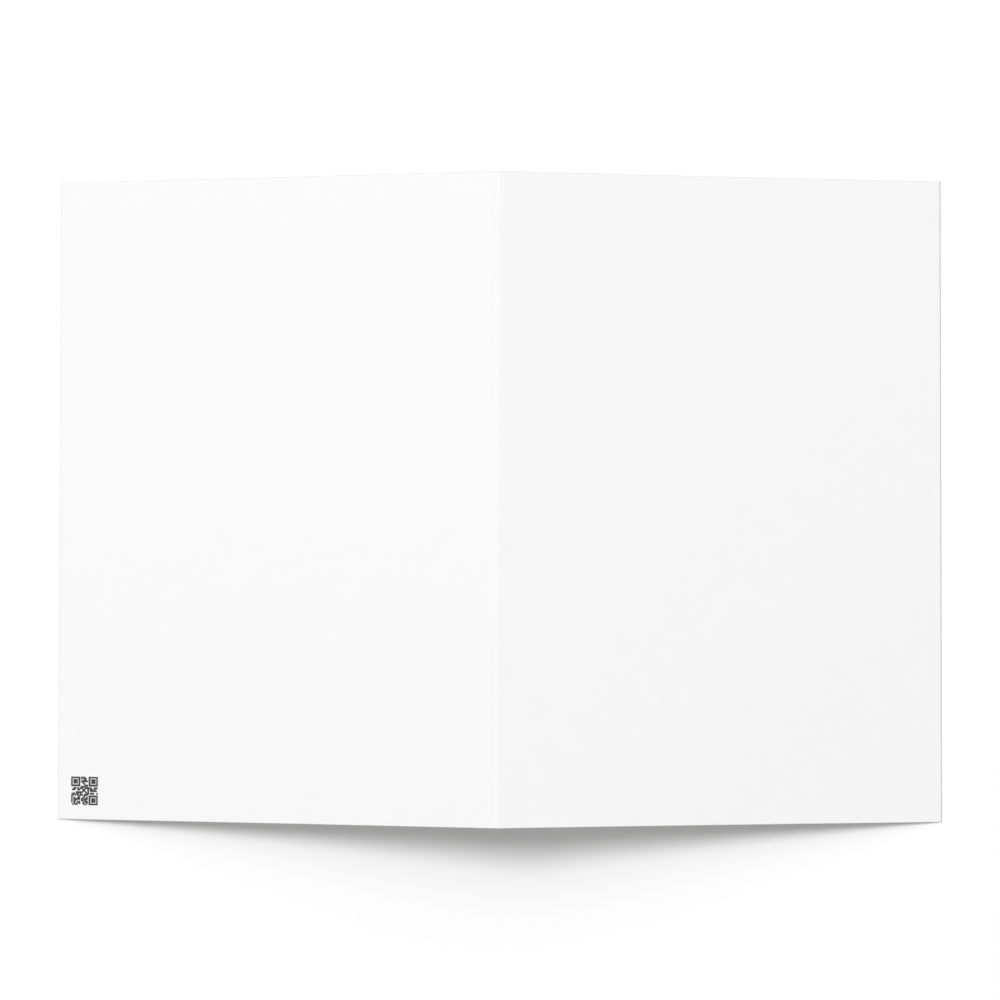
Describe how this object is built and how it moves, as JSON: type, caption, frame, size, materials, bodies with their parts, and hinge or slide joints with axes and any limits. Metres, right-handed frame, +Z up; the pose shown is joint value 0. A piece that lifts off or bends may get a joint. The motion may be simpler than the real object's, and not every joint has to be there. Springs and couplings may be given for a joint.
{
  "type": "greeting card",
  "caption": "Greeting card of stiff white board with a scored fold, lying opened like a low tent with its outside up and a small dark printed square on its back cover.",
  "frame": {"origin": "on the surface that the card lies on, under the middle of its fold", "axes": "+Z up, +Y along the fold towards the card's top edge, +X across the opened card towards the front cover's cut edge"},
  "size_m": [0.2456, 0.1778, 0.0325],
  "materials": {
    "board": "satin"
  },
  "bodies": {
    "root": {"folded_card": "board"}
  },
  "joints": []
}
